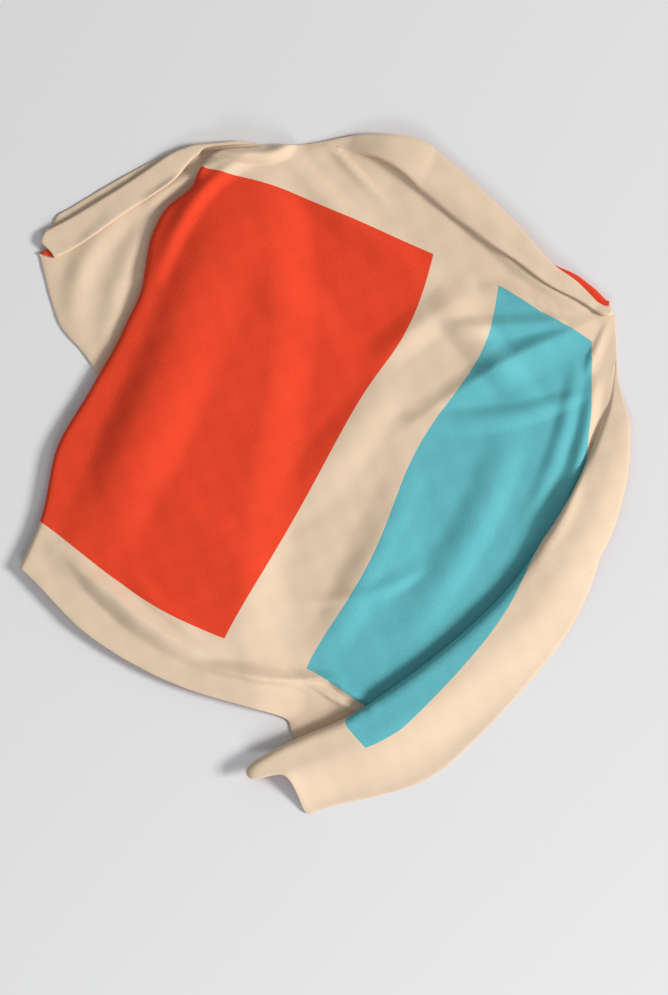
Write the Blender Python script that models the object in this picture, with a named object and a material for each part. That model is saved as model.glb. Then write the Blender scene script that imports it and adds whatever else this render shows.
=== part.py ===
# Knit cotton blanket, laid on a flat surface in gathered folds.
# One knitted piece with its own finished edge. Metres, +Z up.
#
# The cloth is drawn flat first: "across" runs from its left edge and "down" from its top edge.
# Then it is folded in pleats that spread from two gathered spots on its top and right edges,
# and last it is eased into its outline on the surface.
import math

import bpy
import numpy as np
from mathutils.geometry import delaunay_2d_cdt

# Driving sizes of the flat cloth
WIDTH = 1.60
HEIGHT = 1.32
THICKNESS = 0.003
CORNER_RADIUS = 0.012

# Spacing of the points over the flat cloth
OPEN_SPACING = 0.046
FOLD_SPACING = 0.036
EDGE_SPACING = 0.040

# A tight fold turns on this radius, which leaves a small gap between its layers
TIGHT = 0.0024
# A turn wider than this gets more rows of points
WIDE = 0.0035

# A layer over a tuck stays lifted for this share of the tuck's width and then this much more,
# on the near and on the far side of the pleat
LIFTED = 1.15
NEAR_MARGIN = 0.020
FAR_MARGIN = 0.015

# Points on the rim no closer than this, and fold lines kept this far inside it
RIM_GAP = 0.0008
INSIDE_RIM = 0.006
# The even points keep this share of their spacing from the fold lines
CLEAR_SHARE = 0.55
# Fold lines start this far from their gather and run this far beyond the last row
LINE_START = 0.05
LINE_BEYOND = 0.10
# Step over which the surface's direction is taken
NUDGE = 0.0002

# Gathered spots on the flat cloth: (across, down)
TOP_GATHER_LEFT = (0.46, -0.02)
TOP_GATHER_RIGHT = (0.62, -0.02)
RIGHT_GATHER = (1.615, 0.13)

# Where a spot of the folded cloth lies on the surface.
# across and down are on the flat cloth, in metres. east and north are on the surface,
# in centimetres from the middle of the outline.
PINS = (
    # across, down, east, north
    (0.460, 0.000, -13.7, 71.4),
    (0.660, 0.000, -2.2, 72.1),
    (0.450, 0.239, -28.9, 62.1),
    (0.600, 0.239, -13.3, 58.6),
    (0.790, 0.239, 2.6, 49.5),
    (0.926, 0.239, 13.7, 42.1),
    (1.087, 0.239, 28.3, 36.2),
    (1.320, 0.239, 46.1, 27.9),
    (1.600, 0.210, 62.8, 22.3),
    (1.087, 0.474, 16.1, 17.1),
    (1.087, 0.775, 2.6, -9.0),
    (1.087, 1.087, -12.6, -35.3),
    (1.320, 0.593, 31.3, -3.2),
    (1.300, 1.087, 8.7, -45.1),
    (0.462, 0.500, -40.2, 39.2),
    (0.477, 0.730, -52.2, 16.8),
    (0.495, 0.950, -58.9, 4.0),
    (0.500, 1.087, -61.1, -6.8),
    (0.671, 1.087, -47.8, -16.4),
    (0.880, 1.087, -30.9, -27.3),
    (0.515, 1.320, -66.3, -20.3),
    (0.703, 1.320, -53.9, -32.9),
    (0.867, 1.320, -41.1, -41.4),
    (1.007, 1.320, -28.9, -46.8),
    (1.215, 1.320, -8.5, -53.4),
    (0.000, 0.000, -58.7, 56.4),
    (0.830, 0.000, 11.5, 73.6),
    (0.940, 0.000, 22.0, 71.4),
    (1.030, 0.000, 28.5, 66.0),
    (1.250, 0.000, 41.7, 53.4),
    (1.400, 0.000, 49.6, 44.7),
    (1.450, 0.075, 53.9, 42.9),
    (1.550, 0.072, 60.0, 38.0),
    (1.600, 0.105, 61.9, 35.2),
    (1.600, 0.000, 60.8, 36.6),
    (0.240, 0.000, -38.3, 67.9),
    (0.300, 0.000, -31.3, 70.6),
    (0.360, 0.000, -24.6, 71.6),
    (0.000, 0.140, -62.0, 50.3),
    (0.000, 0.235, -62.4, 48.0),
    (0.000, 0.315, -60.7, 40.3),
    (0.000, 0.400, -57.6, 31.6),
    (1.600, 0.440, 65.4, 9.7),
    (1.600, 0.680, 60.4, -14.9),
    (1.600, 0.880, 50.4, -36.6),
    (1.600, 1.110, 21.3, -66.2),
    (1.600, 1.320, -4.6, -74.0),
    (1.420, 1.320, -17.4, -63.4),
    (1.447, 1.320, -16.2, -65.6),
    (1.505, 1.320, -9.6, -64.6),
    (0.458, 0.310, -34.6, 57.9),
    (0.462, 0.388, -38.2, 51.2),
    (0.472, 0.615, -45.6, 28.2),
)

# Pleats, the outer ones of each gather first.
# Each row is a distance from the gather. angle is where the pleat's first turn lies, in degrees
# from straight down the cloth, tuck is the width of the layer between its two turns, turn is how
# far each turn goes round, in degrees, and first and second are the radii of the two turns.
PLEATS = (
    {
        "name": "top band over the second band",
        "gather": TOP_GATHER_LEFT,
        "side": -1,
        "rise": -1,
        "near_lift": False,
        "far_lift": False,
        "settle": 0.05,
        # distance, angle, tuck, turn, first, second, slide
        "rows": (
            (0.00, 68.0, 0.000, 0, 0.0030, TIGHT, 0.00),
            (0.06, 68.0, 0.006, 60, 0.0030, TIGHT, 0.00),
            (0.16, 69.0, 0.010, 180, 0.0030, TIGHT, 0.00),
            (0.55, 77.0, 0.014, 180, 0.0030, TIGHT, 0.00),
        ),
    },
    {
        "name": "second band over the side flap",
        "gather": TOP_GATHER_LEFT,
        "side": -1,
        "rise": 1,
        "near_lift": False,
        "far_lift": False,
        "settle": 0.05,
        "rows": (
            (0.00, 48.0, 0.000, 0, TIGHT, 0.0030, 0.00),
            (0.06, 48.0, 0.006, 60, TIGHT, 0.0030, 0.00),
            (0.16, 50.0, 0.012, 180, TIGHT, 0.0030, 0.00),
            (0.55, 61.0, 0.022, 180, TIGHT, 0.0030, 0.00),
        ),
    },
    {
        "name": "main spread over the side flap",
        "gather": TOP_GATHER_LEFT,
        "side": -1,
        "rise": -1,
        "near_lift": True,
        "far_lift": False,
        "settle": 0.12,
        "rows": (
            (0.00, -2.5, 0.000, 0, 0.0060, TIGHT, 0.00),
            (0.07, -2.5, 0.012, 70, 0.0060, TIGHT, 0.00),
            (0.16, -2.5, 0.040, 180, 0.0060, TIGHT, 0.00),
            (0.32, -2.5, 0.102, 180, 0.0100, TIGHT, 0.00),
            (0.60, -2.5, 0.208, 180, 0.0090, TIGHT, 0.00),
            (1.50, -2.5, 0.520, 180, 0.0080, TIGHT, 0.00),
        ),
    },
    {
        "name": "top strip over the main spread",
        "gather": TOP_GATHER_RIGHT,
        "side": 1,
        "rise": 1,
        "near_lift": False,
        "far_lift": True,
        "settle": 0.08,
        "rows": (
            (0.00, 66.0, 0.000, 0, TIGHT, 0.0040, 0.00),
            (0.14, 66.0, 0.008, 40, TIGHT, 0.0040, 0.00),
            (0.34, 71.0, 0.016, 180, TIGHT, 0.0040, 0.00),
            (0.48, 75.5, 0.020, 180, TIGHT, 0.0040, 0.00),
            (0.62, 79.0, 0.028, 180, TIGHT, 0.0040, 0.00),
            (0.78, 82.0, 0.035, 180, TIGHT, 0.0040, 0.00),
            (0.90, 84.0, 0.039, 180, TIGHT, 0.0040, 0.00),
            (1.05, 85.0, 0.026, 180, TIGHT, 0.0040, 0.00),
        ),
    },
    {
        "name": "rolled fold down the right side",
        "gather": RIGHT_GATHER,
        "side": 1,
        "rise": 1,
        "near_lift": False,
        "far_lift": True,
        "settle": 0.10,
        "rows": (
            (0.00, -17.5, 0.000, 0, TIGHT, 0.0120, 0.00),
            (0.20, -17.5, 0.006, 25, TIGHT, 0.0120, 0.00),
            (0.40, -16.5, 0.008, 90, TIGHT, 0.0130, 0.01),
            (0.58, -15.0, 0.010, 180, TIGHT, 0.0140, 0.03),
            (0.95, -14.3, 0.016, 180, TIGHT, 0.0160, 0.08),
            (1.30, -12.0, 0.045, 180, TIGHT, 0.0180, 0.16),
        ),
    },
)
ROW = {"distance": 0, "angle": 1, "tuck": 2, "turn": 3, "first": 4, "second": 5, "slide": 6}

# Soft swells where air stays under the spread cloth, on the flat cloth.
SWELLS = (
    # across, down, half length, half width, direction in degrees, height
    (0.74, 0.40, 0.26, 0.08, 12, 0.012),
    (0.62, 0.80, 0.30, 0.09, 78, 0.012),
    (1.02, 0.62, 0.26, 0.08, 100, 0.010),
    (1.20, 0.30, 0.24, 0.05, 22, 0.014),
    (1.30, 0.42, 0.26, 0.04, 150, 0.012),
    (0.80, 1.20, 0.24, 0.05, 8, 0.012),
    (1.10, 1.22, 0.16, 0.04, 170, 0.012),
    (1.20, 0.85, 0.22, 0.06, 96, 0.010),
)


def smooth_step(t):
    t = np.clip(t, 0.0, 1.0)
    return t * t * (3.0 - 2.0 * t)


def column(pleat, name, distance):
    """A pleat's value at each distance from its gather."""
    rows = np.array(pleat["rows"], float)
    return np.interp(distance, rows[:, 0], rows[:, ROW[name]])


def pleat_sizes(pleat, distance):
    """A pleat's angle, tuck, turn and two radii at each distance from its gather."""
    angle, turn = (np.radians(column(pleat, name, distance)) for name in ("angle", "turn"))
    tuck, first, second = (column(pleat, name, distance) for name in ("tuck", "first", "second"))
    return angle, tuck, turn, first, second


def polar(points, pleat):
    """Distance and direction of points from a pleat's gather."""
    east = pleat["side"] * (points[:, 0] - pleat["gather"][0])
    south = points[:, 1] - pleat["gather"][1]
    return np.hypot(east, south), np.arctan2(east, south)


def from_polar(distance, direction, pleat):
    across = pleat["gather"][0] + pleat["side"] * distance * np.sin(direction)
    return np.column_stack([across, pleat["gather"][1] + distance * np.cos(direction)])


def cross_section(along, tuck, turn, first, second):
    """Where the cloth goes across a pleat: forward and up, for a length along it."""
    turn = np.maximum(turn, 1e-6)
    ends = np.cumsum([first * turn, tuck, second * turn], axis=0)
    one = np.clip(along, 0.0, ends[0]) / first
    two = np.clip(along - ends[0], 0.0, tuck)
    three = np.clip(along - ends[1], 0.0, second * turn) / second
    forward = np.minimum(along, 0.0) + np.maximum(along - ends[2], 0.0)
    forward += first * np.sin(one) + two * np.cos(turn)
    forward += second * (np.sin(turn) - np.sin(turn - three))
    up = first * (1.0 - np.cos(one)) + two * np.sin(turn)
    up += second * (np.cos(turn - three) - np.cos(turn))
    return forward, up


def fold(points, height, pleat):
    """Points of the cloth after one pleat."""
    distance, direction = polar(points, pleat)
    angle, tuck, turn, first, second = pleat_sizes(pleat, distance)
    along = distance * (direction - angle)
    forward, up = cross_section(along, tuck, turn, first, second)
    across_pleat = first * turn + tuck + second * turn
    whole = cross_section(across_pleat + 1.0, tuck, turn, first, second)[1]
    drawn = column(pleat, "slide", distance) * smooth_step(along / np.maximum(across_pleat, 1e-6))
    moved = from_polar(distance + drawn, angle + forward / np.maximum(distance, 1e-6), pleat)
    rise = pleat["rise"] * up
    if pleat["near_lift"]:
        away = smooth_step((-along - LIFTED * tuck - NEAR_MARGIN) / pleat["settle"])
        rise = rise + whole * np.where(along < 0.0, 1.0 - away, 1.0)
    if pleat["far_lift"]:
        away = smooth_step((along - across_pleat - LIFTED * tuck - FAR_MARGIN) / pleat["settle"])
        rise = rise - whole * away
    return moved, height + rise


def folded(points):
    """Flat points, folded in every pleat, and their heights."""
    height = np.zeros(len(points))
    for pleat in PLEATS:
        points, height = fold(points, height, pleat)
    return points, height


def spline_kernel(a, b):
    gap = np.linalg.norm(a[:, None, :] - b[None, :, :], axis=2)
    return gap * gap * np.log(np.maximum(gap, 1e-9))


def ease_map():
    """A smooth map from the folded cloth to the surface, through the pins."""
    pins = np.array(PINS, float)
    source = folded(pins[:, :2])[0]
    target = pins[:, 2:] / 100.0
    count = len(source)
    flat = np.column_stack([np.ones(count), source])
    stiff = spline_kernel(source, source) + 1e-4 * np.eye(count)
    system = np.block([[stiff, flat], [flat.T, np.zeros((3, 3))]])
    weights = np.linalg.solve(system, np.vstack([target, np.zeros((3, 2))]))
    return source, weights


def eased(points, source, weights):
    flat = np.column_stack([np.ones(len(points)), points])
    return spline_kernel(points, source) @ weights[:-3] + flat @ weights[-3:]


def swell(flat_points):
    """Height of the soft swells at flat points."""
    height = np.zeros(len(flat_points))
    for across, down, half_length, half_width, direction, top in SWELLS:
        turned = math.radians(direction)
        offset = flat_points - (across, down)
        long_way = offset[:, 0] * math.cos(turned) + offset[:, 1] * math.sin(turned)
        wide_way = offset[:, 1] * math.cos(turned) - offset[:, 0] * math.sin(turned)
        far = (long_way / half_length) ** 2 + (wide_way / half_width) ** 2
        height += top * np.clip(1.0 - far, 0.0, None) ** 2
    return height


def lay(flat_points, source, weights):
    """The cloth's middle surface: flat points to places in space."""
    bent, height = folded(flat_points)
    plan = eased(bent, source, weights)
    return np.column_stack([plan, height + swell(flat_points)])


def corner_points():
    """Points of the flat cloth's rounded corners."""
    radius = CORNER_RADIUS
    corners = (
        # across, down, bearing of the corner's first point in degrees
        (radius, radius, 360),
        (radius, HEIGHT - radius, 270),
        (WIDTH - radius, HEIGHT - radius, 180),
        (WIDTH - radius, radius, 90),
    )
    points = []
    for across, down, start in corners:
        for step in range(4):
            bearing = math.radians(start - step * 30)
            points.append((across + radius * math.sin(bearing), down - radius * math.cos(bearing)))
    return points


def fold_lines(pleat):
    """Rows of flat points that follow a pleat's turns."""
    rows = np.array(pleat["rows"], float)
    steps = int(rows[-1, 0] / FOLD_SPACING)
    distance = np.linspace(LINE_START, rows[-1, 0] + LINE_BEYOND, steps)
    angle, tuck, turn, first, second = pleat_sizes(pleat, distance)
    lines = []
    for start, length, parts in (
        (0.0 * turn, first * turn, 3 if np.max(first) < WIDE else 4),
        (first * turn + tuck, second * turn, 3 if np.max(second) < WIDE else 5),
    ):
        for part in range(parts + 1):
            along = start + length * part / parts
            lines.append(from_polar(distance, angle + along / distance, pleat))
    return lines


def inside(points, margin):
    return ((points[:, 0] > margin) & (points[:, 0] < WIDTH - margin)
            & (points[:, 1] > margin) & (points[:, 1] < HEIGHT - margin))


def edge_crossing(line):
    """Where a fold line leaves the cloth."""
    crossings = []
    for axis, limit in ((0, 0.0), (0, WIDTH), (1, 0.0), (1, HEIGHT)):
        side = line[:, axis] - limit
        for i in np.nonzero(side[:-1] * side[1:] < 0.0)[0]:
            share = side[i] / (side[i] - side[i + 1])
            place = line[i] + share * (line[i + 1] - line[i])
            other = place[1 - axis]
            size = (HEIGHT, WIDTH)[axis]
            if CORNER_RADIUS < other < size - CORNER_RADIUS:
                place[axis] = limit
                crossings.append(place)
    return crossings


def flat_mesh():
    """Points and triangles over the flat cloth, with rows along the folds."""
    lines = [line for pleat in PLEATS for line in fold_lines(pleat)]
    rim = corner_points()
    for line in lines:
        rim += [tuple(p) for p in edge_crossing(line)]
    for size, fixed, axis in ((WIDTH, (0.0, HEIGHT), 0), (HEIGHT, (0.0, WIDTH), 1)):
        count = round(size / EDGE_SPACING)
        for i in range(1, count):
            for side in fixed:
                place = [side, side]
                place[axis] = size * i / count
                rim.append(tuple(place))
    rim = np.array(rim)
    centre = np.array([WIDTH / 2, HEIGHT / 2])
    order = np.argsort(np.arctan2(*(rim - centre).T[::-1]))
    rim = rim[order]
    keep = np.linalg.norm(rim - np.roll(rim, 1, axis=0), axis=1) > RIM_GAP
    rim = rim[keep]

    inner = [line[inside(line, INSIDE_RIM)] for line in lines]
    fold_points = np.vstack(inner)
    across = np.arange(0.5, round(WIDTH / OPEN_SPACING)) * OPEN_SPACING
    down = np.arange(0.5, round(HEIGHT / OPEN_SPACING)) * OPEN_SPACING
    grid = np.array([(a + (j % 2) * OPEN_SPACING / 2, d) for j, d in enumerate(down) for a in across])
    grid = grid[inside(grid, 0.6 * OPEN_SPACING)]
    gap = np.linalg.norm(grid[:, None, :] - fold_points[None, :, :], axis=2).min(axis=1)
    grid = grid[gap > CLEAR_SHARE * OPEN_SPACING]

    points = [tuple(p) for p in rim]
    edges = [(i, (i + 1) % len(rim)) for i in range(len(rim))]
    for line in inner:
        start = len(points)
        points += [tuple(p) for p in line]
        edges += [(i, i + 1) for i in range(start, len(points) - 1)
                  if math.dist(points[i], points[i + 1]) < 3 * FOLD_SPACING]
    points += [tuple(p) for p in grid]
    result = delaunay_2d_cdt(points, edges, [], 1, 1e-5)
    return np.array(result[0], float), np.array(result[2])


def closed_sheet(name):
    """The folded cloth as one closed solid of even thickness."""
    flat, triangles = flat_mesh()
    source, weights = ease_map()
    middle = lay(flat, source, weights)
    across = lay(flat + (NUDGE, 0.0), source, weights) - lay(flat - (NUDGE, 0.0), source, weights)
    down = lay(flat + (0.0, NUDGE), source, weights) - lay(flat - (0.0, NUDGE), source, weights)
    normal = np.cross(down, across)
    normal /= np.linalg.norm(normal, axis=1)[:, None]
    top = middle + normal * THICKNESS / 2
    bottom = middle - normal * THICKNESS / 2
    points = np.vstack([top, bottom])
    points[:, 2] += THICKNESS / 2

    mesh = bpy.data.meshes.new(name)
    count = len(flat)
    a, b, c = flat[triangles[:, 0]], flat[triangles[:, 1]], flat[triangles[:, 2]]
    turning = (b - a)[:, 0] * (c - a)[:, 1] - (b - a)[:, 1] * (c - a)[:, 0]
    facing = np.where((turning > 0.0)[:, None], triangles[:, ::-1], triangles)
    faces = [tuple(int(i) for i in t) for t in facing]
    faces += [tuple(int(i) + count for i in t[::-1]) for t in facing]
    sides = {}
    for t in facing:
        for i in range(3):
            start, end = int(t[i]), int(t[(i + 1) % 3])
            sides[(start, end)] = True
    for start, end in sides:
        if (end, start) not in sides:
            faces.append((start, start + count, end + count, end))
    mesh.from_pydata([tuple(p) for p in points], [], faces)
    mesh.update()
    cloth = bpy.data.objects.new(name, mesh)
    bpy.context.collection.objects.link(cloth)
    return cloth


def knit_cotton():
    material = bpy.data.materials.new("knit_cotton")
    material.use_nodes = True
    shader = material.node_tree.nodes["Principled BSDF"]
    shader.inputs["Base Color"].default_value = (0.70, 0.56, 0.42, 1.0)
    shader.inputs["Roughness"].default_value = 0.9
    shader.inputs["Metallic"].default_value = 0.0
    return material


def centre_on_origin(cloth):
    """Moves the cloth so that the middle of its box's underside is the origin."""
    places = np.array([v.co for v in cloth.data.vertices])
    low, high = places.min(axis=0), places.max(axis=0)
    shift = np.array([(low[0] + high[0]) / 2, (low[1] + high[1]) / 2, low[2]])
    for vertex, place in zip(cloth.data.vertices, places - shift):
        vertex.co = place


def main():
    for old in list(bpy.data.objects):
        bpy.data.objects.remove(old)
    cloth = closed_sheet("blanket")
    centre_on_origin(cloth)
    cloth.data.materials.append(knit_cotton())
    bpy.context.view_layer.update()


main()
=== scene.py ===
# %% [markdown]
# # A knit cotton blanket, laid out in gathered folds
# The blanket is a throw of about 1.6 by 1.3 metres, knitted in one piece from soft cotton yarn.
# It is a double knit: two faces of stitches made at once and tied together, so it is thick, smooth
# and the same on both sides but for its colours. Plain blocks of red and teal are knitted into cream.
#
# This lesson lays it out in cells. The flat cloth comes first, then its pleats, its place on the
# floor, its soft creases, its yarns, and last the light and the camera.

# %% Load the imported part
import math

import bpy
import numpy as np
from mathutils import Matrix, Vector, kdtree
from mathutils.geometry import delaunay_2d_cdt


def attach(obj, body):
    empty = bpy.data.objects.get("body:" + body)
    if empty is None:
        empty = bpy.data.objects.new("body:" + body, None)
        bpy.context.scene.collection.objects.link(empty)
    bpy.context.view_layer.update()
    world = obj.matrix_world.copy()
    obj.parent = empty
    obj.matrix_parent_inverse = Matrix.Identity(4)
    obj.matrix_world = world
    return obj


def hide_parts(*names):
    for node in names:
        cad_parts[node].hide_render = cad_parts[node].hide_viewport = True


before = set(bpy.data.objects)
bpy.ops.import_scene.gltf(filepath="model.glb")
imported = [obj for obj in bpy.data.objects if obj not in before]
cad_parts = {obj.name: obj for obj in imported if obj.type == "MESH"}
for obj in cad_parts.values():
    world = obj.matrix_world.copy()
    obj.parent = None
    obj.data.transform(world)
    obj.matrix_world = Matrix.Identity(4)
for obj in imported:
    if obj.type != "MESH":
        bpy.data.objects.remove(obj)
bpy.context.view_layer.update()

# %% [markdown]
# ## The flat cloth
# Cloth is easiest to plan flat, as it comes off the knitting machine. "across" runs from its left
# edge and "down" from its top edge, both in metres. Everything else, its folds and its colours, is
# given in these two numbers, so a stitch keeps its place and its colour when the cloth is folded.

# %% Sizes of the flat cloth
WIDTH = 1.60
HEIGHT = 1.32
THICKNESS = 0.003
CORNER_RADIUS = 0.012
# The knitted-in blocks: left, top, right and bottom
RED_BLOCK = (0.34, 0.18, 1.00, 1.14)
TEAL_BLOCK = (1.18, 0.18, 1.50, 1.14)
# Spacing of the points over the flat cloth
OPEN_SPACING = 0.0078
FOLD_SPACING = 0.0080
EDGE_SPACING = 0.0070
# Steps in the arc of each rounded corner
CORNER_STEPS = 4
# A tight fold turns on this radius, which leaves a small gap between its layers
TIGHT = 0.0024
print(f"flat cloth: {WIDTH} x {HEIGHT} m, {WIDTH * HEIGHT:.2f} square metres")

# %% [markdown]
# ## Pleats that fan out from two gathered spots
# The cloth was gathered at a spot on its top edge and at another high on its right edge, and then let
# fall. Cloth gathered at a spot folds along lines that fan out from it, so each pleat is described in
# distance and direction from its gather. A pleat has two turns with a layer of cloth between them,
# like the letter Z seen from the side. It starts as nothing at the gather and opens with distance.

# %% The gathered spots and the pleats
TOP_GATHER_LEFT = (0.46, -0.02)
TOP_GATHER_RIGHT = (0.62, -0.02)
RIGHT_GATHER = (1.615, 0.13)
# A layer over a tuck stays lifted for this share of the tuck's width, and then this much more
LIFTED = 1.15
NEAR_MARGIN = 0.020
FAR_MARGIN = 0.015
# gather, side of the gather, rise (1 lays the far side on top), near_lift, far_lift, settle, rows.
# Each row: distance, angle from straight down the cloth, tuck, turn, first radius, second radius, slide
PLEATS = (
    # top band over the second band
    (TOP_GATHER_LEFT, -1, -1, False, False, 0.05, (
        (0.00, 68.0, 0.000, 0, 0.0030, TIGHT, 0.00),
        (0.06, 68.0, 0.006, 60, 0.0030, TIGHT, 0.00),
        (0.16, 69.0, 0.010, 180, 0.0030, TIGHT, 0.00),
        (0.55, 77.0, 0.014, 180, 0.0030, TIGHT, 0.00),
    )),
    # second band over the side flap
    (TOP_GATHER_LEFT, -1, 1, False, False, 0.05, (
        (0.00, 48.0, 0.000, 0, TIGHT, 0.0030, 0.00),
        (0.06, 48.0, 0.006, 60, TIGHT, 0.0030, 0.00),
        (0.16, 50.0, 0.012, 180, TIGHT, 0.0030, 0.00),
        (0.55, 61.0, 0.022, 180, TIGHT, 0.0030, 0.00),
    )),
    # main spread over the side flap
    (TOP_GATHER_LEFT, -1, -1, True, False, 0.12, (
        (0.00, -2.5, 0.000, 0, 0.0060, TIGHT, 0.00),
        (0.07, -2.5, 0.012, 70, 0.0060, TIGHT, 0.00),
        (0.16, -2.5, 0.040, 180, 0.0060, TIGHT, 0.00),
        (0.32, -2.5, 0.102, 180, 0.0100, TIGHT, 0.00),
        (0.60, -2.5, 0.208, 180, 0.0090, TIGHT, 0.00),
        (1.50, -2.5, 0.520, 180, 0.0080, TIGHT, 0.00),
    )),
    # top strip over the main spread
    (TOP_GATHER_RIGHT, 1, 1, False, True, 0.08, (
        (0.00, 66.0, 0.000, 0, TIGHT, 0.0040, 0.00),
        (0.14, 66.0, 0.008, 40, TIGHT, 0.0040, 0.00),
        (0.34, 71.0, 0.016, 180, TIGHT, 0.0040, 0.00),
        (0.48, 75.5, 0.020, 180, TIGHT, 0.0040, 0.00),
        (0.62, 79.0, 0.028, 180, TIGHT, 0.0040, 0.00),
        (0.78, 82.0, 0.035, 180, TIGHT, 0.0040, 0.00),
        (0.90, 84.0, 0.039, 180, TIGHT, 0.0040, 0.00),
        (1.05, 85.0, 0.026, 180, TIGHT, 0.0040, 0.00),
    )),
    # rolled fold down the right side
    (RIGHT_GATHER, 1, 1, False, True, 0.10, (
        (0.00, -17.5, 0.000, 0, TIGHT, 0.0120, 0.00),
        (0.20, -17.5, 0.006, 25, TIGHT, 0.0120, 0.00),
        (0.40, -16.5, 0.008, 90, TIGHT, 0.0130, 0.01),
        (0.58, -15.0, 0.010, 180, TIGHT, 0.0140, 0.03),
        (0.95, -14.3, 0.016, 180, TIGHT, 0.0160, 0.08),
        (1.30, -12.0, 0.045, 180, TIGHT, 0.0180, 0.16),
    )),
)
print(len(PLEATS), "pleats")

# %% [markdown]
# ## Folding by arithmetic
# A fold could be bent with bones or found by a cloth simulation. Here it is worked out directly: a
# length along the cloth goes round the first turn, across the tuck and round the second turn, and the
# formula gives how far forward and how high that is. It keeps the length of the cloth exactly, and
# each fold lies where it should.


# %% One pleat
def smooth_step(t):
    t = np.clip(t, 0.0, 1.0)
    return t * t * (3.0 - 2.0 * t)


def pleat_sizes(rows, distance):
    """Angle, tuck, turn, first and second radius and slide of a pleat at each distance."""
    rows = np.array(rows, float)
    sizes = [np.interp(distance, rows[:, 0], rows[:, i]) for i in range(1, 7)]
    sizes[0], sizes[2] = np.radians(sizes[0]), np.radians(sizes[2])
    return sizes


def from_gather(distance, direction, gather, side):
    across = gather[0] + side * distance * np.sin(direction)
    return np.column_stack([across, gather[1] + distance * np.cos(direction)])


def cross_section(along, tuck, turn, first, second):
    """Where the cloth goes across a pleat: forward and up, for a length along it."""
    turn = np.maximum(turn, 1e-6)
    ends = np.cumsum([first * turn, tuck, second * turn], axis=0)
    one = np.clip(along, 0.0, ends[0]) / first
    two = np.clip(along - ends[0], 0.0, tuck)
    three = np.clip(along - ends[1], 0.0, second * turn) / second
    forward = np.minimum(along, 0.0) + np.maximum(along - ends[2], 0.0)
    forward += first * np.sin(one) + two * np.cos(turn)
    forward += second * (np.sin(turn) - np.sin(turn - three))
    up = first * (1.0 - np.cos(one)) + two * np.sin(turn)
    up += second * (np.cos(turn - three) - np.cos(turn))
    return forward, up


def folded(points):
    """Flat points, folded in every pleat, and their heights."""
    height = np.zeros(len(points))
    for gather, side, rise, near_lift, far_lift, settle, rows in PLEATS:
        east = side * (points[:, 0] - gather[0])
        south = points[:, 1] - gather[1]
        distance, direction = np.hypot(east, south), np.arctan2(east, south)
        angle, tuck, turn, first, second, slide = pleat_sizes(rows, distance)
        along = distance * (direction - angle)
        across_pleat = first * turn + tuck + second * turn
        forward, up = cross_section(along, tuck, turn, first, second)
        whole = cross_section(across_pleat + 1.0, tuck, turn, first, second)[1]
        drawn = slide * smooth_step(along / np.maximum(across_pleat, 1e-6))
        height = height + rise * up
        if near_lift:
            away = smooth_step((-along - LIFTED * tuck - NEAR_MARGIN) / settle)
            height += whole * np.where(along < 0.0, 1.0 - away, 1.0)
        if far_lift:
            away = smooth_step((along - across_pleat - LIFTED * tuck - FAR_MARGIN) / settle)
            height -= whole * away
        points = from_gather(distance + drawn, angle + forward / np.maximum(distance, 1e-6), gather, side)
    return points, height


check = folded(np.array([[0.0, 0.0], [WIDTH, HEIGHT]]))
print("two corners after folding:", check[0].round(3).tolist(), check[1].round(3).tolist())

# %% [markdown]
# ## Easing the cloth into its outline
# Knitted cotton gives a little, so the laid-out blanket has curved edges that folding alone would
# leave straight. A thin-plate spline does this easing: it is the smoothest way to bend a sheet in its
# own plane so that chosen spots land on chosen places, like pinning paper pieces to a board.

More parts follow.
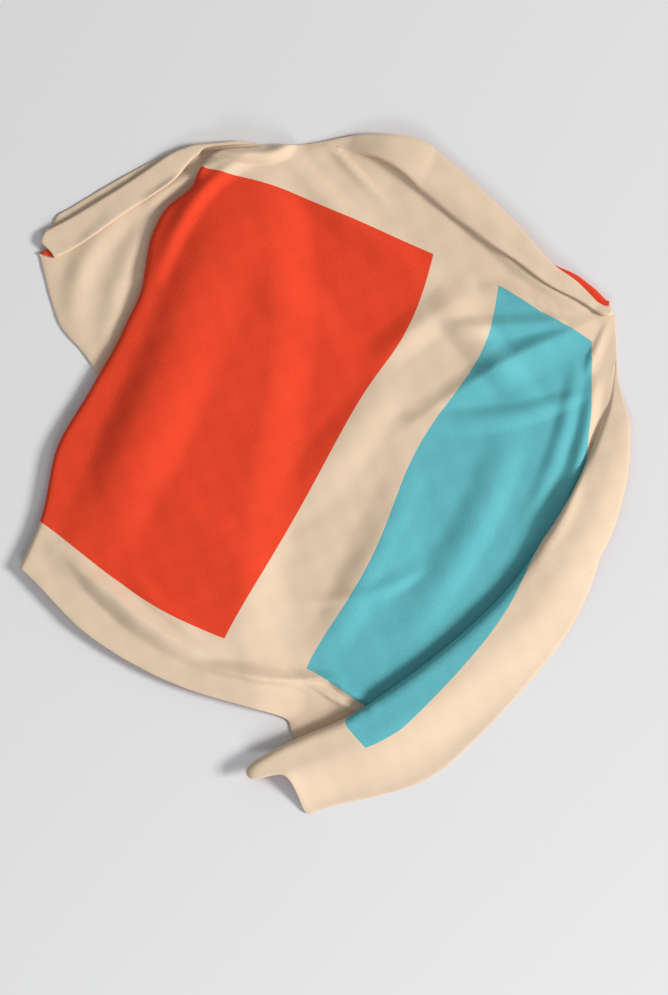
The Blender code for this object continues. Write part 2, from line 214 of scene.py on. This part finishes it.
# %% Pins from the flat cloth to the floor
PINS = (
    # across and down in metres, then east and north in centimetres from the outline's middle
    (0.460, 0.000, -13.7, 71.4), (0.660, 0.000, -2.2, 72.1), (0.450, 0.239, -28.9, 62.1),
    (0.600, 0.239, -13.3, 58.6), (0.790, 0.239, 2.6, 49.5), (0.926, 0.239, 13.7, 42.1),
    (1.087, 0.239, 28.3, 36.2), (1.320, 0.239, 46.1, 27.9), (1.600, 0.210, 62.8, 22.3),
    (1.087, 0.474, 16.1, 17.1), (1.087, 0.775, 2.6, -9.0), (1.087, 1.087, -12.6, -35.3),
    (1.320, 0.593, 31.3, -3.2), (1.300, 1.087, 8.7, -45.1), (0.462, 0.500, -40.2, 39.2),
    (0.477, 0.730, -52.2, 16.8), (0.495, 0.950, -58.9, 4.0), (0.500, 1.087, -61.1, -6.8),
    (0.671, 1.087, -47.8, -16.4), (0.880, 1.087, -30.9, -27.3), (0.515, 1.320, -66.3, -20.3),
    (0.703, 1.320, -53.9, -32.9), (0.867, 1.320, -41.1, -41.4), (1.007, 1.320, -28.9, -46.8),
    (1.215, 1.320, -8.5, -53.4), (0.000, 0.000, -58.7, 56.4), (0.830, 0.000, 11.5, 73.6),
    (0.940, 0.000, 22.0, 71.4), (1.030, 0.000, 28.5, 66.0), (1.250, 0.000, 41.7, 53.4),
    (1.400, 0.000, 49.6, 44.7), (1.450, 0.075, 53.9, 42.9), (1.550, 0.072, 60.0, 38.0),
    (1.600, 0.105, 61.9, 35.2), (1.600, 0.000, 60.8, 36.6), (0.240, 0.000, -38.3, 67.9),
    (0.300, 0.000, -31.3, 70.6), (0.360, 0.000, -24.6, 71.6), (0.000, 0.140, -62.0, 50.3),
    (0.000, 0.235, -62.4, 48.0), (0.000, 0.315, -60.7, 40.3), (0.000, 0.400, -57.6, 31.6),
    (1.600, 0.440, 65.4, 9.7), (1.600, 0.680, 60.4, -14.9), (1.600, 0.880, 50.4, -36.6),
    (1.600, 1.110, 21.3, -66.2), (1.600, 1.320, -4.6, -74.0), (1.420, 1.320, -17.4, -63.4),
    (1.447, 1.320, -16.2, -65.6), (1.505, 1.320, -9.6, -64.6), (0.458, 0.310, -34.6, 57.9),
    (0.462, 0.388, -38.2, 51.2), (0.472, 0.615, -45.6, 28.2),
)


def spline_kernel(a, b):
    gap = np.linalg.norm(a[:, None, :] - b[None, :, :], axis=2)
    return gap * gap * np.log(np.maximum(gap, 1e-9))


def pin_weights():
    """The spline's centres and weights, so that each pinned spot lands on its place."""
    pins = np.array(PINS, float)
    centres = folded(pins[:, :2])[0]
    count = len(centres)
    flat = np.column_stack([np.ones(count), centres])
    stiff = spline_kernel(centres, centres) + 1e-4 * np.eye(count)
    system = np.block([[stiff, flat], [flat.T, np.zeros((3, 3))]])
    return centres, np.linalg.solve(system, np.vstack([pins[:, 2:] / 100.0, np.zeros((3, 2))]))


CENTRES, WEIGHTS = pin_weights()


def eased(points):
    flat = np.column_stack([np.ones(len(points)), points])
    return spline_kernel(points, CENTRES) @ WEIGHTS[:-3] + flat @ WEIGHTS[-3:]


print(len(PINS), "pins")

# %% [markdown]
# ## Soft swells and creases
# A thick knit never lies quite flat: air stays under it, and soft ridges run out of each gather and
# die away. The swells are low mounds on the flat cloth. The ridges are lines drawn where they lie
# on the floor, each with a height that changes along it and its own width on either side, so one
# side can be steep and the other gentle. A ridge lifts all the layers at its place together, so the
# layers never pass through each other.

# %% The swells and the ridges
SWELLS = (
    # across, down, half length, half width, direction in degrees, height
    (0.74, 0.40, 0.26, 0.08, 12, 0.012), (0.62, 0.80, 0.30, 0.09, 78, 0.012),
    (1.02, 0.62, 0.26, 0.08, 100, 0.010), (1.20, 0.30, 0.24, 0.05, 22, 0.014),
    (1.30, 0.42, 0.26, 0.04, 150, 0.012), (0.80, 1.20, 0.24, 0.05, 8, 0.012),
    (1.10, 1.22, 0.16, 0.04, 170, 0.012), (1.20, 0.85, 0.22, 0.06, 96, 0.010),
)
RIDGES = {
    # left and right half widths in centimetres, seen along the line, and how crisp the crest is;
    # then the line: east and north in centimetres from the outline's middle, height in millimetres
    "long fold out of the right gather": (7.0, 3.6, 0.7, (
        (58.7, 34, 3), (50, 30.1, 10), (42.2, 26.6, 13), (31.7, 20.5, 10), (22.2, 14, 5), (14, 8, 0))),
    "swell above the long fold": (3.0, 2.8, 0.3, (
        (56, 33.4, 3), (47, 32.8, 8), (38, 32.2, 9), (28, 32, 6), (19, 34, 0))),
    "lifted edge of the strip": (3.0, 2.0, 0.4, (
        (26.7, 57.3, 0), (35.4, 50.2, 4), (42, 44.4, 8), (49.5, 39.2, 8), (56, 36.4, 4))),
    "small fold under the strip": (2.8, 2.2, 0.4, (
        (32, 40.8, 0), (38.5, 39.9, 5), (45, 37.6, 7), (51.5, 35.5, 6), (57, 34.3, 2))),
    "crease in the right corner": (2.6, 1.2, 0.7, (
        (60.5, 33, 2), (58.8, 29, 5), (57, 25, 5), (55.8, 21, 0))),
    "shade along the rolled fold": (2.6, 3.2, 0.5, (
        (58.5, 22, 0), (57.2, 16, 7), (55.6, 8, 10), (53.5, 0, 10), (50.5, -9, 7), (45, -18, 0))),
    "faint shade in the teal": (3.4, 2.6, 0.2, (
        (54.3, 24.5, 0), (52.6, 16.2, 5), (50.4, 7.5, 6), (46, -4, 4), (40, -15, 0))),
    "long swell in the teal": (5.0, 6.0, 0.0, (
        (40, 12, 0), (37, 0, 6), (31, -13, 8), (23, -26, 6), (14, -38, 0))),
    "fold out of the top gather, left": (3.0, 3.6, 0.5, (
        (-15, 70.5, 3), (-22, 66, 9), (-28, 60, 11), (-33, 52, 9), (-37, 43, 4))),
    "fold out of the top gather, right": (4.0, 6.0, 0.2, (
        (-10, 70, 3), (-4, 63, 9), (4, 56, 10), (14, 49, 7), (24, 42, 0))),
    "slit beside the top gather": (1.8, 3.2, 0.5, (
        (-41, 57.6, 0), (-38, 60, 5), (-32.2, 63.6, 8), (-26.5, 66.4, 7), (-20, 69, 2))),
    "twist at the top gather": (1.5, 2.4, 0.8, (
        (-3, 71.4, 2), (1, 70.6, 6), (4.3, 67.5, 7), (8.5, 63, 5), (14, 58, 0))),
    "roll-over beside the left fold": (13.0, 7.5, 0.0, (
        (-20, 57, 2), (-27, 44, 9), (-33, 29, 11), (-40, 13, 10), (-47, -3, 7), (-53, -18, 2))),
    "dent in the top of the red": (5.0, 5.0, 0.3, (
        (8, 21, 0), (14.6, 28.2, 6), (20, 32.5, 8), (26.5, 36.8, 6), (33, 40, 0))),
    "slant in the lower red": (6.0, 9.0, 0.1, (
        (-44, 4, 0), (-34, -5, 4), (-24, -14, 5), (-15, -24, 4), (-9, -34, 0))),
    "ripple in the lower left": (3.2, 4.2, 0.4, (
        (-58, -17, 2), (-53, -21, 8), (-46, -26, 10), (-38.5, -32, 10), (-30, -37, 7), (-20, -40, 0))),
    "second ripple in the lower left": (3.0, 3.4, 0.2, (
        (-46, -17, 0), (-41, -24, 3), (-35, -30, 6), (-29, -35, 6), (-23, -39, 0))),
    "crease in the lower cream": (2.6, 1.2, 0.9, (
        (-34, -39.2, 0), (-25, -41.8, 4), (-16, -44, 6), (-9, -44.6, 7), (0.2, -44.7, 9),
        (3.9, -47.1, 9), (9.6, -50, 4))),
    "second crease in the lower cream": (1.9, 1.1, 0.9, (
        (-6, -44.6, 0), (-3, -46, 5), (0.5, -48.2, 7), (6.3, -51.4, 4))),
    "swell in the lower gap": (5.0, 6.0, 0.1, (
        (20, 4, 0), (14, -8, 5), (8, -20, 5), (3, -32, 4), (-3, -40, 0))),
    "fold across the lower gap": (3.2, 2.2, 0.4, (
        (-7, -27.5, 0), (1, -27.2, 4), (9, -26, 6), (16, -23.2, 6), (22, -19.5, 0))),
    "top strip's crown": (4.5, 4.5, 0.2, (
        (7, 69.5, 3), (14, 67.5, 7), (22, 63.5, 7), (32, 57, 5), (41.7, 49.5, 4), (52, 41, 2),
        (60, 36, 0))),
    "side flap's ripple": (4.0, 4.0, 0.3, (
        (-38, 62, 0), (-47, 54, 4), (-53, 46, 6), (-55, 37, 4), (-53, 28, 0))),
    "second ripple of the side flap": (3.0, 3.5, 0.3, (
        (-38, 58, 0), (-42, 50, 3), (-46, 40, 4), (-48, 30, 2))),
}


# All the ridges are raised by this factor, so that they read under soft light
RIDGE_GAIN = 1.5
# Nowhere is the knit quite even: low waves of this height, a hand's width apart. Each row is two
# waves that are multiplied, and each wave is its radians per metre east and north, and its start
UNEVEN = 0.0018
WAVES = (
    ((41, 13, 0.0), (17, -37, 1.0)),
    ((83, -29, 2.0), (31, 71, 0.0)),
)


def swell(flat_points):
    """Height of the soft swells at flat points."""
    height = np.zeros(len(flat_points))
    for across, down, half_length, half_width, direction, top in SWELLS:
        turned = math.radians(direction)
        offset = flat_points - (across, down)
        long_way = offset[:, 0] * math.cos(turned) + offset[:, 1] * math.sin(turned)
        wide_way = offset[:, 1] * math.cos(turned) - offset[:, 0] * math.sin(turned)
        far = (long_way / half_length) ** 2 + (wide_way / half_width) ** 2
        height += top * np.clip(1.0 - far, 0.0, None) ** 2
    return height


def smooth_line(knots, parts=5):
    """A smooth line through the knots, as a Catmull-Rom curve."""
    knots = np.array(knots, float)
    padded = np.vstack([2 * knots[0] - knots[1], knots, 2 * knots[-1] - knots[-2]])
    line = []
    for a, b, c, d in zip(padded, padded[1:], padded[2:], padded[3:]):
        for t in np.arange(parts) / parts:
            line.append(0.5 * (2 * b + (c - a) * t + (2 * a - 5 * b + 4 * c - d) * t ** 2
                               + (3 * b - a - 3 * c + d) * t ** 3))
    return np.vstack([line, knots[-1]])


def ridge_height(places, left, right, crisp, knots):
    """Height of one ridge at places on the floor, in metres."""
    line = smooth_line(knots) * (0.01, 0.01, 0.001 * RIDGE_GAIN)
    nearest = np.full(len(places), np.inf)
    height = np.zeros(len(places))
    for start, end in zip(line, line[1:]):
        step = end[:2] - start[:2]
        offset = places - start[:2]
        share = np.clip(offset @ step / (step @ step), 0.0, 1.0)
        away = offset - share[:, None] * step
        distance = np.hypot(away[:, 0], away[:, 1])
        # 1 to the left of the line, -1 to its right, and in between beyond its ends
        turning = step[0] * away[:, 1] - step[1] * away[:, 0]
        side = turning / np.maximum(distance * np.hypot(*step), 1e-9)
        width = (right + (left - right) * (1.0 + side) / 2.0) / 100.0
        top = np.maximum(start[2] + share * (end[2] - start[2]), 0.0)
        share_out = np.clip(distance / width, 0.0, 1.0)
        rise = top * (crisp * (1.0 - share_out) ** 2 + (1.0 - crisp) * (1.0 - share_out ** 2) ** 2)
        nearer = distance < nearest
        nearest = np.where(nearer, distance, nearest)
        height = np.where(nearer, rise, height)
    return height


def relief(places):
    """All the ridges together. Where ridges meet, the root of squares keeps them from piling up."""
    squares = sum(ridge_height(places, *ridge) ** 2 for ridge in RIDGES.values())
    wavy = 0.0
    for pair in WAVES:
        first, second = (np.sin(east * places[:, 0] + north * places[:, 1] + start)
                         for east, north, start in pair)
        wavy = wavy + first * second
    # The waves lie between -2 and 2, so this rise lies between nothing and UNEVEN
    return np.sqrt(squares) + UNEVEN * (2.0 + wavy) / 4.0


def lay(flat_points):
    """The cloth's middle surface: flat points to places in space."""
    bent, height = folded(flat_points)
    places = eased(bent)
    return np.column_stack([places, height + swell(flat_points) + relief(places)])


print(len(SWELLS), "swells and", len(RIDGES), "ridges")

# %% [markdown]
# ## Points over the flat cloth
# The mesh needs rows of points along each fold, so that a tight turn is round, and along the edges of
# the colour blocks, so that a colour stops on a clean line. An even scatter of points fills the rest.
# A constrained Delaunay triangulation then joins them all and keeps every row as edges.


# %% Rows of points along edges, blocks and folds
# Fold rows start this far from their gather, run this far beyond the pleat's last row, and stop
# this far inside the cloth's edge
ROW_START = 0.05
ROW_BEYOND = 0.10
INSIDE_EDGE = 0.003
# Points of one row further apart than this many spacings aren't joined
LONGEST_STEP = 3
# An even point closer than this share of the spacing to a row's point is left out
CLEAR_SHARE = 0.55


def evenly(start, end, spacing):
    """Points from start to just before end."""
    count = max(1, round(math.dist(start, end) / spacing))
    return [tuple(np.array(start) + (np.array(end) - start) * i / count) for i in range(count)]


def box_outline(left, top, right, bottom, spacing):
    corners = ((left, top), (left, bottom), (right, bottom), (right, top))
    return [p for a, b in zip(corners, corners[1:] + corners[:1]) for p in evenly(a, b, spacing)]


def cloth_outline():
    """The flat cloth's edge with its rounded corners, as a closed row of points."""
    radius = CORNER_RADIUS
    corners = ((radius, radius, 360), (radius, HEIGHT - radius, 270),
               (WIDTH - radius, HEIGHT - radius, 180), (WIDTH - radius, radius, 90))
    arcs = []
    for across, down, start in corners:
        arc = []
        for step in range(CORNER_STEPS + 1):
            angle = math.radians(start - step * 90 / CORNER_STEPS)
            arc.append((across + radius * math.sin(angle), down - radius * math.cos(angle)))
        arcs.append(arc)
    rim = []
    for arc, following in zip(arcs, arcs[1:] + arcs[:1]):
        rim += arc[:-1] + evenly(arc[-1], following[0], EDGE_SPACING)
    return rim


def fold_rows(pleat, parts=6):
    """Rows of flat points that follow a pleat's two turns, each turn in so many parts."""
    gather, side, rows = pleat[0], pleat[1], pleat[6]
    distance = np.arange(ROW_START, rows[-1][0] + ROW_BEYOND, FOLD_SPACING)
    angle, tuck, turn, first, second, slide = pleat_sizes(rows, distance)
    lines = []
    for start, length in ((0.0 * turn, first * turn), (first * turn + tuck, second * turn)):
        for part in range(parts + 1):
            along = start + length * part / parts
            line = from_gather(distance, angle + along / distance, gather, side)
            lines.append(line[on_cloth(line, INSIDE_EDGE)])
    return lines


def on_cloth(points, margin):
    return ((points[:, 0] > margin) & (points[:, 0] < WIDTH - margin)
            & (points[:, 1] > margin) & (points[:, 1] < HEIGHT - margin))


def cloth_points():
    """All the flat points, and the edges that the mesh keeps."""
    rim = cloth_outline()
    points = list(rim)
    edges = [(i, (i + 1) % len(rim)) for i in range(len(rim))]
    for block in (RED_BLOCK, TEAL_BLOCK):
        start = len(points)
        points += box_outline(*block, EDGE_SPACING)
        edges += [(i, i + 1) for i in range(start, len(points) - 1)] + [(len(points) - 1, start)]
    for line in [line for pleat in PLEATS for line in fold_rows(pleat)]:
        start = len(points)
        points += [tuple(p) for p in line]
        edges += [(i, i + 1) for i in range(start, len(points) - 1)
                  if math.dist(points[i], points[i + 1]) < LONGEST_STEP * FOLD_SPACING]
    placed = kdtree.KDTree(len(points))
    for i, (across, down) in enumerate(points):
        placed.insert((across, down, 0.0), i)
    placed.balance()
    row_height = OPEN_SPACING * math.sqrt(3.0) / 2.0
    for row in range(1, int(HEIGHT / row_height)):
        for across in np.arange(0.5 + 0.5 * (row % 2), WIDTH / OPEN_SPACING) * OPEN_SPACING:
            if placed.find((across, row * row_height, 0.0))[2] > CLEAR_SHARE * OPEN_SPACING:
                points.append((across, row * row_height))
    return points, edges


points, edges = cloth_points()
result = delaunay_2d_cdt(points, edges, [], 1, 1e-6)
FLAT = np.array(result[0], float)[:, :2]
TRIANGLES = np.array(result[2])
print(len(FLAT), "points and", len(TRIANGLES), "triangles over the flat cloth")

# %% [markdown]
# ## From flat points to a cloth with two faces
# The flat points are laid by the mapping above. The cloth is 3 mm thick, so its front and its reverse
# are half of that to either side of the middle surface, along the surface's own direction. Round the
# rim three rows of points make the soft rounded edge that a double knit finishes with by itself.

# %% The front, the reverse and the rounded rim
# The step over which a direction is measured
NUDGE = 0.0002
# Where the rim's three rows stand: 0 degrees is on the front and 180 on the reverse
RIM_ANGLES = (45, 90, 135)


def surface_direction(flat_points):
    """The direction that the front faces, at flat points."""
    across = lay(flat_points + (NUDGE, 0.0)) - lay(flat_points - (NUDGE, 0.0))
    down = lay(flat_points + (0.0, NUDGE)) - lay(flat_points - (0.0, NUDGE))
    normal = np.cross(down, across)
    return normal / np.linalg.norm(normal, axis=1)[:, None]


def rim_order(triangles):
    """The rim's points in turn, each joined to the next by a triangle's free edge."""
    halves = {(int(t[i]), int(t[(i + 1) % 3])) for t in triangles for i in range(3)}
    following = {start: end for start, end in halves if (end, start) not in halves}
    order = [min(following)]
    while following[order[-1]] != order[0]:
        order.append(following[order[-1]])
    return np.array(order)


def turned_up(flat, triangles):
    """Triangles with their corners in the order that makes the front face up."""
    a, b, c = (flat[triangles[:, i]] for i in range(3))
    turning = (b - a)[:, 0] * (c - a)[:, 1] - (b - a)[:, 1] * (c - a)[:, 0]
    return np.where((turning > 0.0)[:, None], triangles[:, ::-1], triangles)


def outward(flat, rim):
    """The direction off the cloth, on the flat, at each point of the rim."""
    along = np.roll(flat[rim], -1, axis=0) - np.roll(flat[rim], 1, axis=0)
    side = np.column_stack([along[:, 1], -along[:, 0]])
    side /= np.linalg.norm(side, axis=1)[:, None]
    from_middle = flat[rim] - (WIDTH / 2, HEIGHT / 2)
    return side if (side * from_middle).sum() > 0.0 else -side


front = turned_up(FLAT, TRIANGLES)
rim = rim_order(front)
middle = lay(FLAT)
facing = surface_direction(FLAT)
off_edge = lay(FLAT[rim] + outward(FLAT, rim) * NUDGE) - middle[rim]
off_edge /= np.linalg.norm(off_edge, axis=1)[:, None]
half = THICKNESS / 2
rounds = [middle[rim] + half * (math.cos(angle) * facing[rim] + math.sin(angle) * off_edge)
          for angle in np.radians(RIM_ANGLES)]
vertices = np.vstack([middle + half * facing, middle - half * facing] + rounds)
print(len(rim), "points round the rim, highest point", round(float(vertices[:, 2].max()) * 1000, 1), "mm")

# %% [markdown]
# ## One mesh, coloured by face
# Each triangle lies wholly inside one knitted block, so a material per face colours it. In a double
# knit the two yarns swap sides: where the front is red the reverse is cream, and where the front is
# cream or teal the reverse is red. The flat place of each point is kept as the UV map, in metres, and
# the stitches of the materials are drawn on it, so they follow every fold.

# %% Build the mesh
CREAM, RED, TEAL = 0, 1, 2


def inside_block(places, block):
    left, top, right, bottom = block
    return ((places[:, 0] > left) & (places[:, 0] < right)
            & (places[:, 1] > top) & (places[:, 1] < bottom))


count = len(FLAT)
centres = FLAT[front].mean(axis=1)
in_red, in_teal = inside_block(centres, RED_BLOCK), inside_block(centres, TEAL_BLOCK)
front_yarn = np.where(in_red, RED, np.where(in_teal, TEAL, CREAM))
reverse_yarn = np.where(in_red, CREAM, RED)
faces = front.tolist() + (front[:, ::-1] + count).tolist()
between = [2 * count + i * len(rim) + np.arange(len(rim)) for i in range(len(RIM_ANGLES))]
rows = [rim] + between + [rim + count]
edge_yarn = []
for row, (upper, lower) in enumerate(zip(rows, rows[1:])):
    faces += np.column_stack([upper, lower, np.roll(lower, -1), np.roll(upper, -1)]).tolist()
    edge_yarn += [CREAM if row < len(RIM_ANGLES) else RED] * len(rim)

lowest, highest = vertices.min(axis=0), vertices.max(axis=0)
box_middle = np.array([(lowest[0] + highest[0]) / 2, (lowest[1] + highest[1]) / 2, lowest[2]])
mesh = bpy.data.meshes.new("blanket_cloth")
mesh.from_pydata((vertices - box_middle).tolist(), [], faces)
mesh.polygons.foreach_set("material_index", np.concatenate([front_yarn, reverse_yarn, edge_yarn]))
mesh.polygons.foreach_set("use_smooth", np.ones(len(faces), bool))
flat_place = np.vstack([FLAT, FLAT] + [FLAT[rim]] * len(RIM_ANGLES))
corner = np.empty(len(mesh.loops), int)
mesh.loops.foreach_get("vertex_index", corner)
mesh.uv_layers.new(name="flat_cloth").data.foreach_set("uv", flat_place[corner].ravel())
mesh.update()
blanket = bpy.data.objects.new("blanket_cloth", mesh)
bpy.context.collection.objects.link(blanket)
print(len(faces), "faces, box's middle", box_middle.round(4).tolist())

# %% [markdown]
# ## Cotton yarn
# Cotton yarn is dyed before it is knitted. Its fibres are dull, with a faint bloom of light where the
# cloth turns away, which the sheen of the shader gives. A double knit shows fine columns of stitches.
# Real columns here are about 2.5 mm apart, close to one pixel of the picture, so they are drawn 4 mm
# apart to show at all. The yarn isn't quite even: paler flecks run a little way along the rows.


# %% Tools for materials
def linear(hex_colour):
    """An sRGB hex colour as the linear values that the shader wants."""
    values = [int(hex_colour[i:i + 2], 16) / 255 for i in (1, 3, 5)]
    return tuple(v / 12.92 if v <= 0.04045 else ((v + 0.055) / 1.055) ** 2.4 for v in values) + (1.0,)


def node(tree, kind, inputs=None, **settings):
    """Adds a node. inputs gives each socket a value, or another node's output to link from."""
    new = tree.nodes.new(kind)
    for name, value in settings.items():
        setattr(new, name, value)
    for socket, value in (inputs or {}).items():
        if isinstance(value, bpy.types.NodeSocket):
            tree.links.new(value, new.inputs[socket])
        else:
            new.inputs[socket].default_value = value
    return new


# Metres of cloth. Real stitches are about 2.5 mm wide, so these are drawn coarser
STITCH_WIDTH = 0.0040
STITCH_HEIGHT = 0.0034
# Flecks to a metre, across and down: they lie along the rows of stitches
FLECKS = (170, 420, 1)
# Cloudy patches to a metre, where the dye took more or less
PATCHES = 9.0


def knitted_cotton(name, yarn, fleck, shade, sheen):
    """Double-knit cotton: stitches in columns, flecked yarn and a dull bloom."""
    material = bpy.data.materials.new(name)
    material.use_nodes = True
    tree = material.node_tree
    shader = tree.nodes["Principled BSDF"]
    shader.inputs["Metallic"].default_value = 0.0
    shader.inputs["IOR"].default_value = 1.5
    shader.inputs["Specular IOR Level"].default_value = 0.25
    shader.inputs["Sheen Weight"].default_value = sheen
    shader.inputs["Sheen Roughness"].default_value = 0.55
    shader.inputs["Sheen Tint"].default_value = linear(fleck)

    # Each column of stitches is a row of V shapes. The two arms of a V slope to the column's middle,
    # where the yarn stands highest, and a valley parts one column from the next
    place = node(tree, "ShaderNodeUVMap", uv_map="flat_cloth")
    split = node(tree, "ShaderNodeSeparateXYZ", {0: place.outputs[0]})
    column = node(tree, "ShaderNodeMath", {0: split.outputs[0], 1: 1.0 / STITCH_WIDTH},
                  operation="MULTIPLY")
    share = node(tree, "ShaderNodeMath", {0: column.outputs[0]}, operation="FRACT")
    centred = node(tree, "ShaderNodeMath", {0: share.outputs[0], 1: 0.5}, operation="SUBTRACT")
    arm = node(tree, "ShaderNodeMath", {0: centred.outputs[0]}, operation="ABSOLUTE")
    course = node(tree, "ShaderNodeMath", {0: split.outputs[1], 1: 1.0 / STITCH_HEIGHT,
                                           2: arm.outputs[0]}, operation="MULTIPLY_ADD")
    turn = node(tree, "ShaderNodeMath", {0: course.outputs[0], 1: math.tau}, operation="MULTIPLY")
    loop = node(tree, "ShaderNodeMath", {0: turn.outputs[0]}, operation="SINE")
    valley = node(tree, "ShaderNodeMath", {0: arm.outputs[0], 1: -3.2, 2: 1.2},
                  operation="MULTIPLY_ADD")
    stitch = node(tree, "ShaderNodeMath", {0: loop.outputs[0], 1: 0.45, 2: valley.outputs[0]},
                  operation="MULTIPLY_ADD")

    # Paler fibres along the rows, and soft patches of deeper dye
    stretched = node(tree, "ShaderNodeMapping", {"Vector": place.outputs[0], "Scale": FLECKS})
    flecks = node(tree, "ShaderNodeTexNoise", {"Vector": stretched.outputs[0], "Scale": 1.0,
                                               "Detail": 3.0, "Roughness": 0.65})
    pale = node(tree, "ShaderNodeMapRange", {"Value": flecks.outputs["Fac"], "From Min": 0.52,
                                             "From Max": 0.78, "To Max": 0.55})
    cloudy = node(tree, "ShaderNodeTexNoise", {"Vector": place.outputs[0], "Scale": PATCHES,
                                               "Detail": 4.0, "Roughness": 0.55})
    dark = node(tree, "ShaderNodeMapRange", {"Value": cloudy.outputs["Fac"], "From Min": 0.35,
                                             "From Max": 0.75, "To Max": 0.42})
    dyed = node(tree, "ShaderNodeMix", {"Factor": dark.outputs[0], "A": linear(yarn),
                                        "B": linear(shade)}, data_type="RGBA")
    flecked = node(tree, "ShaderNodeMix", {"Factor": pale.outputs[0], "A": dyed.outputs[2],
                                           "B": linear(fleck)}, data_type="RGBA")
    tree.links.new(flecked.outputs[2], shader.inputs["Base Color"])

    # Cotton is dull all over, a little less so on the loose fibres
    dull = node(tree, "ShaderNodeMapRange", {"Value": flecks.outputs["Fac"], "To Min": 0.82,
                                             "To Max": 0.97})
    tree.links.new(dull.outputs[0], shader.inputs["Roughness"])
    # The stitches stand up a little, and the loose fibres roughen them
    fuzz = node(tree, "ShaderNodeMath", {0: flecks.outputs["Fac"], 1: 0.9, 2: stitch.outputs[0]},
                operation="MULTIPLY_ADD")
    bump = node(tree, "ShaderNodeBump", {"Height": fuzz.outputs[0], "Strength": 0.12,
                                         "Distance": 0.0006})
    tree.links.new(bump.outputs[0], shader.inputs["Normal"])
    return material


# %% [markdown]
# ### The three yarns
# Undyed cotton is a warm cream with hardly any flecks. The red and the teal are dyed, and the dye
# takes unevenly, so their flecks show more. All three are matt.

# %% Cream, red and teal
YARNS = (
    knitted_cotton("undyed_cotton_double_knit", "#DBC3A8", "#E5D2BB", "#CDB498", 0.20),
    knitted_cotton("red_dyed_cotton_double_knit", "#DE3F20", "#E96342", "#CF3417", 0.15),
    knitted_cotton("teal_dyed_cotton_double_knit", "#5EAFB6", "#80C8CD", "#4FA1A9", 0.20),
)
for yarn in YARNS:
    blanket.data.materials.append(yarn)
print("yarns:", [yarn.name for yarn in YARNS])

# %% [markdown]
# ## The floor
# The floor is pale matt paper, wide enough to fill every view. It lies a hair below the cloth, so
# that the two never share a plane and flicker. Matt paper gives the eye no glare, only soft shadows.

# %% Floor
FLOOR_HALF = 30
FLOOR_LEVEL = -0.0006
floor_corners = [(east * FLOOR_HALF, north * FLOOR_HALF, FLOOR_LEVEL)
                 for east, north in ((-1, -1), (1, -1), (1, 1), (-1, 1))]
floor_mesh = bpy.data.meshes.new("floor")
floor_mesh.from_pydata(floor_corners, [], [(0, 1, 2, 3)])
floor = bpy.data.objects.new("floor", floor_mesh)
bpy.context.collection.objects.link(floor)
paper = bpy.data.materials.new("matt_backdrop_paper")
paper.use_nodes = True
paper_shader = paper.node_tree.nodes["Principled BSDF"]
grain = node(paper.node_tree, "ShaderNodeTexNoise", {"Scale": 1.2, "Detail": 2.0})
tone = node(paper.node_tree, "ShaderNodeMapRange", {"Value": grain.outputs["Fac"], "To Min": 0.86,
                                                    "To Max": 0.92})
paper.node_tree.links.new(tone.outputs[0], paper_shader.inputs["Roughness"])
paper_shader.inputs["Base Color"].default_value = linear("#DCDCDC")
paper_shader.inputs["Specular IOR Level"].default_value = 0.2
floor.data.materials.append(paper)
print("floor:", 2 * FLOOR_HALF, "m square")

# %% [markdown]
# ## The lights and the camera
# One broad light stands far off to the right, so folds throw soft shadows to the left. Because it is
# far off, both sides of the blanket get nearly the same light. A weak cool light beyond the lower
# edge and a pale sky fill the shadows. The camera looks straight down, from far enough away that the
# blanket's outline isn't distorted.


# %% Light and camera
def aimed(thing, name, place, target):
    """Adds a light or camera at a place, looking at a target."""
    new = bpy.data.objects.new(name, thing)
    bpy.context.collection.objects.link(new)
    new.location = place
    new.rotation_euler = (Vector(target) - Vector(place)).to_track_quat("-Z", "Y").to_euler()
    return new


def soft_light(name, width, depth, energy, colour, place):
    """A rectangular light that looks at the blanket's middle."""
    light = bpy.data.lights.new(name, "AREA")
    light.shape = "RECTANGLE"
    light.size, light.size_y = width, depth
    light.energy = energy
    light.color = colour
    return aimed(light, name, place, (0.0, 0.0, 0.0))


# name, width and depth in metres, watts, colour, place
soft_light("broad_window", 5.0, 4.4, 4300.0, (1.0, 0.980, 0.955), (17.0, -1.6, 10.3))
soft_light("low_cool_fill", 3.0, 2.0, 140.0, (0.90, 0.95, 1.0), (0.5, -6.0, 3.5))

sky = bpy.data.worlds.new("pale_studio")
sky.use_nodes = True
sky.node_tree.nodes["Background"].inputs["Color"].default_value = linear("#F4F6FA")
sky.node_tree.nodes["Background"].inputs["Strength"].default_value = 0.38
bpy.context.scene.world = sky
bpy.context.scene.view_settings.view_transform = "Standard"

# The picture is 668 by 995 pixels, and 460 of them make a metre at the cloth
PICTURE_HEIGHT = 995 / 460
CAMERA_HEIGHT = 4.6
# The picture's middle, east and north of the outline's middle, in metres
PICTURE_MIDDLE = (0.013, -0.050)
picture_middle = np.array(PICTURE_MIDDLE) - box_middle[:2]
lens = bpy.data.cameras.new("overhead")
lens.sensor_fit = "VERTICAL"
lens.sensor_height = 24.0
lens.lens = lens.sensor_height * CAMERA_HEIGHT / PICTURE_HEIGHT
camera = bpy.data.objects.new("overhead", lens)
bpy.context.collection.objects.link(camera)
camera.location = (picture_middle[0], picture_middle[1], CAMERA_HEIGHT)
bpy.context.scene.camera = camera
print("lens:", round(lens.lens, 1), "mm at", CAMERA_HEIGHT, "m")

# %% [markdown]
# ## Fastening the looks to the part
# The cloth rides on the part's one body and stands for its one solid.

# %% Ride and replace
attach(blanket, "root")
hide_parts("blanket")
